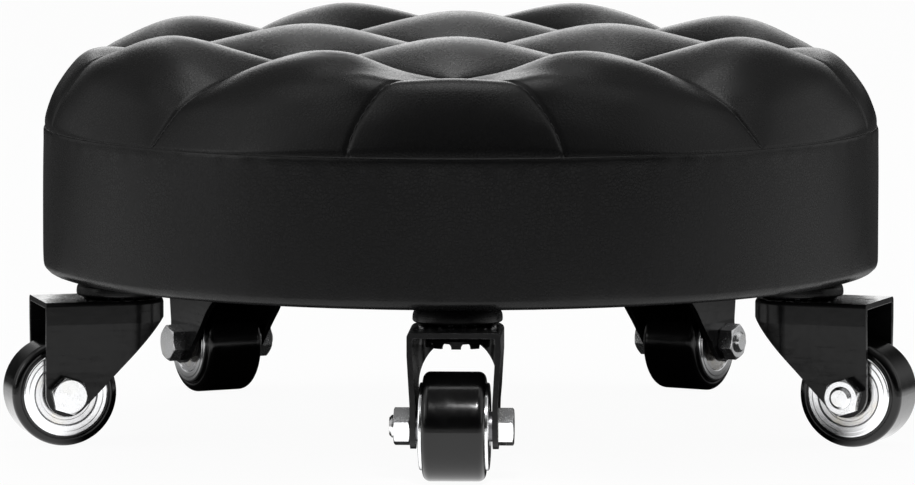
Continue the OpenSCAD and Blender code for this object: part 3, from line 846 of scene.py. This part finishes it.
ZINC = (0.91, 0.915, 0.925)
STEEL = (0.78, 0.78, 0.79)
vinyl_top = vinyl("black_vinyl_top")
vinyl_band = vinyl("black_vinyl_band", 0.0050)
enamel_fork = enamel("gloss_black_enamel")
enamel_race = enamel("black_race_enamel", 0.005, 0.26, 0.00025, 0.5)
zinc_bolt = metal("zinc_plate", ZINC, 0.22, 0.0003, 0.05, None, (0.84, 0.83, 0.78), 0.5)
zinc_nut = metal("zinc_plate_nut", (0.90, 0.905, 0.915), 0.21, 0.0003, 0.06, None, (0.80, 0.80, 0.83), 0.5)
stem_metal = metal("stem_steel", (0.5, 0.5, 0.51), 0.32, 0.0002, 0.12)
ball_metal = metal("ball_steel", (0.74, 0.74, 0.75), 0.12, 0.0001, 0.05)
spacer_metal = metal("spacer_steel", (0.28, 0.28, 0.29), 0.38, 0.0002, 0.1)
staple_metal = metal("staple_wire", (0.62, 0.62, 0.64), 0.3, 0.00015, 0.1)
tee_metal = metal("tee_nut_zinc", (0.6, 0.6, 0.6), 0.3, 0.0002, 0.15, None, (0.66, 0.6, 0.4))


def dress(node, material):
    o = NODES[node]
    if not o.data.materials:
        o.data.materials.append(material)
    for s in o.material_slots:
        s.material = material


def finish_new(obj, material):
    obj.data.materials.clear()
    obj.data.materials.append(material)


finish_new(cover, vinyl_top)
finish_new(band, vinyl_band)
finish_new(foam, foam_material())
finish_new(thread, thread_material())
finish_new(dust, felt_material())
dress("base_board", plywood_material())
dress("staples", staple_metal)
dress("tee_nuts", tee_metal)
dress("caster_stems", stem_metal)
dress("upper_races", enamel_race)
dress("lower_races", enamel_race)
dress("swivel_balls", ball_metal)
for i, name in enumerate(CASTERS):
    dress("fork_" + name, enamel_fork)
    dress("axle_bolt_" + name, zinc_bolt)
    dress("axle_nut_" + name, zinc_nut)
    dress("axle_spacers_" + name, spacer_metal)
    turned = metal("ground_steel_" + name, STEEL, 0.2, 0.00015, 0.06, around_axle(i), (0.74, 0.68, 0.54))
    dress("inner_races_" + name, turned)
    dress("outer_races_" + name, turned)
    dress("bearing_balls_" + name, ball_metal)
    dress("tyre_" + name, tyre_material(i))
    dress("wheel_core_" + name, metal("bright_core_" + name, (0.90, 0.905, 0.915), 0.17, 0.00015, 0.035, around_axle(i)))

# ---------------------------------------------------------------- riding

for obj, slot, nodes in (
    (cover, "cover", ("seat_cover",)),
    (band, "cover", ("side_band",)),
    (foam, "foam", ("foam_pad",)),
    (thread, "cover", ()),
    (dust, "dust_cloth", ("dust_cloth",)),
):
    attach(obj, "seat")
    if nodes:
        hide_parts(*nodes)

# ---------------------------------------------------------------- floor and light

floor_mesh = bpy.data.meshes.new("floor")
floor_mesh.from_pydata([(-20, -20, 0), (20, -20, 0), (20, 20, 0), (-20, 20, 0)], [], [(0, 1, 2, 3)])
floor = bpy.data.objects.new("floor", floor_mesh)
bpy.context.scene.collection.objects.link(floor)
f = Nodes("glowing_floor")
f.link(f.mix(f.remap(f.noise(0.7, 3.0), 0.3, 0.7, 0.0, 1.0), (0.050, 0.050, 0.050), (0.060, 0.060, 0.060)), "Base Color")
# The floor glows. The camera sees an even glow; all other rays see painted light, bright in front and at
# the sides and falling off towards the back, with a painted shadow of the stool under and behind it.
where = f.add("ShaderNodeSeparateXYZ", Vector=f.coord)
fx, fy = where.outputs["X"], f.math("SUBTRACT", where.outputs["Y"], AY)
reach = f.math("SQRT", f.math("ADD", f.math("POWER", fx, 2.0), f.math("POWER", fy, 2.0)))
back = f.math("DIVIDE", fy, f.math("MAXIMUM", reach, 0.01))      # -1 in front, 1 behind
around_floor = f.remap(back, 0.06, 0.72, 1.0, 0.05, True)
close_by = f.math("MULTIPLY", f.remap(reach, 0.40, 0.62, 1.0, 0.0, True), f.remap(back, 0.30, 0.95, 0.70, 0.06, True))
around_floor = f.math("MAXIMUM", around_floor, close_by)
shade = f.remap(back, -0.15, 0.75, 0.158, 0.30, True)            # how far the painted shadow of the stool reaches
shade_in = f.remap(back, -0.15, 0.75, 0.142, 0.15, True)
n = f.add("ShaderNodeMapRange", {"interpolation_type": "SMOOTHSTEP"}, Value=reach)
f.tree.links.new(shade_in, n.inputs["From Min"])
f.tree.links.new(shade, n.inputs["From Max"])
near_floor = f.math("ADD", f.remap(reach, 0.29, 0.47, 1.40, 0.30, True), f.remap(reach, 0.70, 1.30, 0.0, 0.85, True))
side = f.math("MULTIPLY", f.remap(f.math("DIVIDE", f.math("ABSOLUTE", fx), f.math("MAXIMUM", reach, 0.01)), 0.45, 0.95, 0.0, 1.0, True), f.remap(fx, -0.3, 0.3, 0.60, 0.70, True))
near_floor = f.math("MAXIMUM", near_floor, side)
far_floor = f.math("MULTIPLY", near_floor, f.remap(reach, 2.6, 6.0, 1.0, 0.4, True))
# painted light of the floor, with the painted shadow of the stool cut out of it
painted_floor_light = f.math("MULTIPLY", f.math("MULTIPLY", f.math("MULTIPLY", around_floor, n.outputs[0]), far_floor), 1.0)
seen = f.tree.nodes.new("ShaderNodeLightPath").outputs["Is Camera Ray"]
# the glow: painted light and painted shadow for all but camera rays, an even glow for the camera
glow = f.math("ADD", f.math("MULTIPLY", painted_floor_light, f.math("SUBTRACT", 1.0, seen)), f.math("MULTIPLY", seen, 0.955))
f.link(glow, "Emission Strength")
f.set(Roughness=0.6, Specular_IOR_Level=0.0, Emission_Color=(1, 1, 1, 1))
floor_mesh.materials.append(f.mat)


def area_light(name, location, target, size, size_y, power):
    data = bpy.data.lights.new(name, "AREA")
    data.shape = "RECTANGLE"
    data.size, data.size_y, data.energy = size, size_y, power
    o = bpy.data.objects.new(name, data)
    bpy.context.scene.collection.objects.link(o)
    o.location = location
    o.rotation_euler = (Vector(target) - Vector(location)).to_track_quat("-Z", "Y").to_euler()
    return o


area_light("top", (0.0, 0.50, 1.9), (0, 0.5, 0.0), 0.7, 1.1, 4.8)
area_light("wing_left", (-0.85, 0.0, 1.9), (-0.85, 0, 0.0), 0.6, 1.3, 2.0)
area_light("wing_right", (0.85, 0.0, 1.9), (0.85, 0, 0.0), 0.6, 1.3, 1.6)
area_light("left", (-1.5, -0.55, 0.62), (0, 0, 0.08), 0.45, 0.9, 2.4)
area_light("right", (1.5, -0.45, 0.62), (0, 0, 0.08), 0.45, 0.9, 1.2)
# a small gridded lamp close over the front wheel, that only the wheel sees
lamp = area_light("wheel_lamp", (AX + 0.009, AY - 0.272, 0.155), (AX + 0.005, AY - 0.172, 0.025), 0.019, 0.010, 0.007)
lamp.data.spread = math.radians(36)
lamp.visible_camera = False

world = bpy.data.worlds.new("studio")
bpy.context.scene.world = world
world.use_nodes = True
wt = world.node_tree
background = next(n for n in wt.nodes if n.type == "BACKGROUND")
direction = wt.nodes.new("ShaderNodeTexCoord").outputs["Generated"]
sep = wt.nodes.new("ShaderNodeSeparateXYZ")
wt.links.new(direction, sep.inputs[0])


def world_remap(out, a, b, c, d):
    n = wt.nodes.new("ShaderNodeMapRange")
    n.interpolation_type = "SMOOTHSTEP"
    wt.links.new(out, n.inputs["Value"])
    for k, v in (("From Min", a), ("From Max", b), ("To Min", c), ("To Max", d)):
        n.inputs[k].default_value = v
    return n.outputs[0]


def world_math(op, a, b):
    n = wt.nodes.new("ShaderNodeMath")
    n.operation = op
    for k, v in ((0, a), (1, b)):
        if isinstance(v, bpy.types.NodeSocket):
            wt.links.new(v, n.inputs[k])
        else:
            n.inputs[k].default_value = v
    return n.outputs[0]


# A bright panel low behind the stool, soft cards at the sides, dark elsewhere; the
# backdrop that the camera sees is white.
wide = world_math("ABSOLUTE", sep.outputs["X"], 0.0)
panel = world_math("MULTIPLY", world_remap(wide, 0.08, 0.26, 2.4, 0.17), world_remap(sep.outputs["Y"], 0.2, 0.5, 0.0, 1.0))
panel = world_math("MULTIPLY", panel, world_math("MULTIPLY", world_remap(sep.outputs["Z"], 0.02, 0.12, 0.0, 1.0), world_remap(sep.outputs["Z"], 0.35, 0.51, 1.0, 0.07)))
panel = world_math("MULTIPLY", panel, world_remap(wide, 0.25, 0.40, 1.0, 0.0))
cards = world_math("MULTIPLY", world_remap(wide, 0.42, 0.85, 0.02, 0.50), world_remap(sep.outputs["Y"], -0.5, 0.2, 0.1, 1.0))
corners = world_math("MULTIPLY", world_remap(wide, 0.32, 0.60, 0.0, 0.6), world_remap(sep.outputs["Y"], -0.05, 0.30, 1.0, 0.0))
corners = world_math("MULTIPLY", corners, world_remap(sep.outputs["Z"], 0.28, 0.50, 0.0, 1.0))
corners = world_math("MULTIPLY", corners, world_remap(sep.outputs["X"], -0.2, 0.2, 0.92, 0.28))
cards = world_math("MULTIPLY", cards, world_remap(sep.outputs["X"], -0.2, 0.2, 1.0, 1.4))
cards = world_math("MULTIPLY", cards, world_remap(sep.outputs["Z"], -0.02, 0.20, 0.33, 1.0))
cards = world_math("ADD", cards, corners)
above = world_remap(sep.outputs["Z"], 0.35, 0.75, 0.0, 0.16)
light = world_math("ADD", panel, world_math("ADD", cards, above))
seen = wt.nodes.new("ShaderNodeLightPath").outputs["Is Camera Ray"]
total = world_math("ADD", world_math("MULTIPLY", light, world_math("SUBTRACT", 1.0, seen)), seen)
wt.links.new(total, background.inputs["Strength"])
background.inputs["Color"].default_value = (1.0, 1.0, 1.0, 1.0)

bpy.context.scene.view_settings.view_transform = "Standard"
